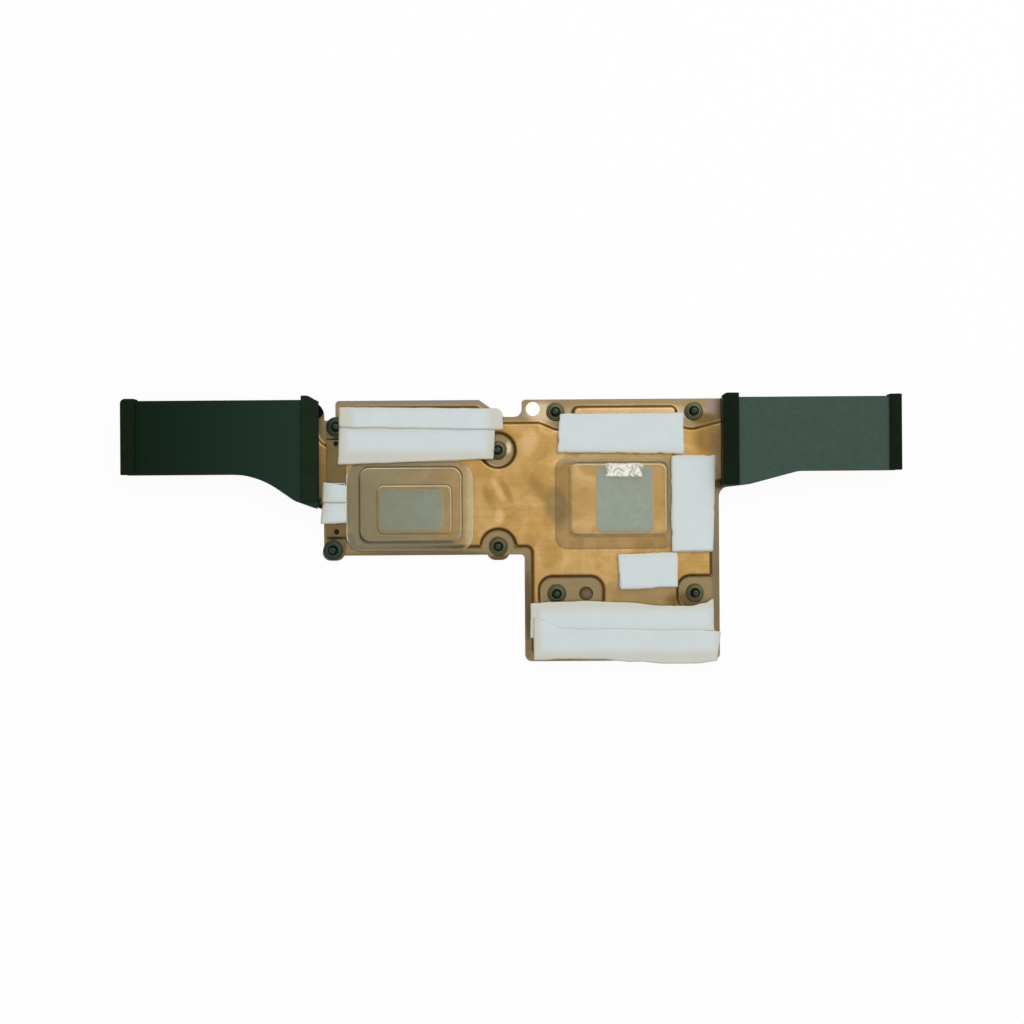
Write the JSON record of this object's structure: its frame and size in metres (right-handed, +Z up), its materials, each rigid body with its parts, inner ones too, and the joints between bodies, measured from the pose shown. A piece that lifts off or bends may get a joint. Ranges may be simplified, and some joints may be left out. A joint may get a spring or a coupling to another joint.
{
  "type": "laptop heatsink",
  "caption": "Flat copper vapour chamber with a black fin bank on each arm, captive screws, lined thermal pads and film-covered paste, to cool a laptop's processor and graphics chip.",
  "frame": {"origin": "middle of the part's box, on the plane it rests on", "axes": "+X along the laptop's rear edge towards the graphics side, +Y towards the air outlet, +Z up, out of the side that meets the board"},
  "size_m": [0.257, 0.089, 0.0098],
  "materials": {
    "copper": "finely brushed bare copper",
    "wick": "matte woven copper mesh",
    "fin_black": "matte black coating",
    "black_film": "satin black film",
    "foam": "matte foam",
    "bracket_steel": "dull plated steel",
    "screw_steel": "dark plated steel",
    "paste": "matte printed paste",
    "clear_film": "clear formed film",
    "liner": "white release film",
    "pad": "soft matte pad"
  },
  "bodies": {
    "root": {"back_shell": "copper", "bracket": "bracket_steel", "bracket_retainers": "screw_steel", "bracket_screws": "screw_steel", "choke_pad_front": "pad", "choke_pad_front_liner": "liner", "choke_pad_rear": "pad", "choke_pad_rear_liner": "liner", "driver_pad_front": "pad", "driver_pad_front_liner": "liner", "driver_pad_rear": "pad", "driver_pad_rear_liner": "liner", "front_shell": "copper", "graphics_film": "clear_film", "graphics_paste": "paste", "graphics_retainers": "screw_steel", "graphics_screws": "screw_steel", "left_fin_cover": "black_film", "left_fins": "fin_black", "left_inner_seal": "foam", "left_outer_seal": "foam", "memory_pad_front": "pad", "memory_pad_front_liner": "liner", "memory_pad_rear": "pad", "memory_pad_rear_liner": "liner", "memory_pad_side": "pad", "memory_pad_side_liner": "liner", "power_pad_front": "pad", "power_pad_front_liner": "liner", "power_pad_rear": "pad", "power_pad_rear_liner": "liner", "processor_film": "clear_film", "processor_paste": "paste", "processor_retainers": "screw_steel", "processor_screws": "screw_steel", "right_fin_cover": "black_film", "right_fins": "fin_black", "right_inner_seal": "foam", "right_outer_seal": "foam", "support_columns": "copper", "wick_mesh": "wick"}
  },
  "joints": []
}
